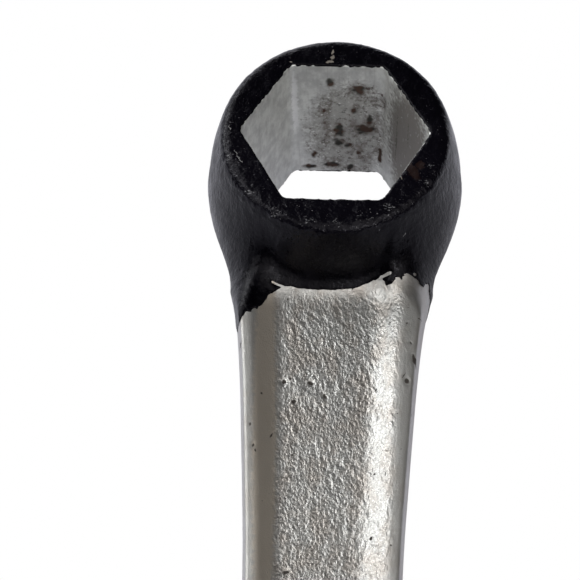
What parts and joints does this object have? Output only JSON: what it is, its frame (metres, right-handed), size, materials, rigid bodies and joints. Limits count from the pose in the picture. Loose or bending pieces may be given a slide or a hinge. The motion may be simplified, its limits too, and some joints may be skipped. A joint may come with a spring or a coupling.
{
  "type": "combination wrench",
  "caption": "Drop-forged combination wrench with a deep six-sided box end, an I-section shank and an angled open end, in black and silver paint.",
  "frame": {"origin": "on the surface the wrench lies on, under the middle of its bounding box", "axes": "+Z along the axis of the box end's hexagon, +Y from the open jaw towards the box end, +X to the right seen from above with the box end away"},
  "size_m": [0.0519, 0.294, 0.0274],
  "materials": {
    "forged_steel": "bare forged steel with scale pits, on the nut's flats",
    "black_enamel": "thick glossy black enamel with brush marks and chips",
    "silver_paint": "silver paint over a shot-blasted forging"
  },
  "bodies": {
    "root": {"forged_body": "forged_steel", "ring_black_coat": "black_enamel", "jaw_black_coat": "black_enamel", "shank_silver_coat": "silver_paint"}
  },
  "joints": []
}
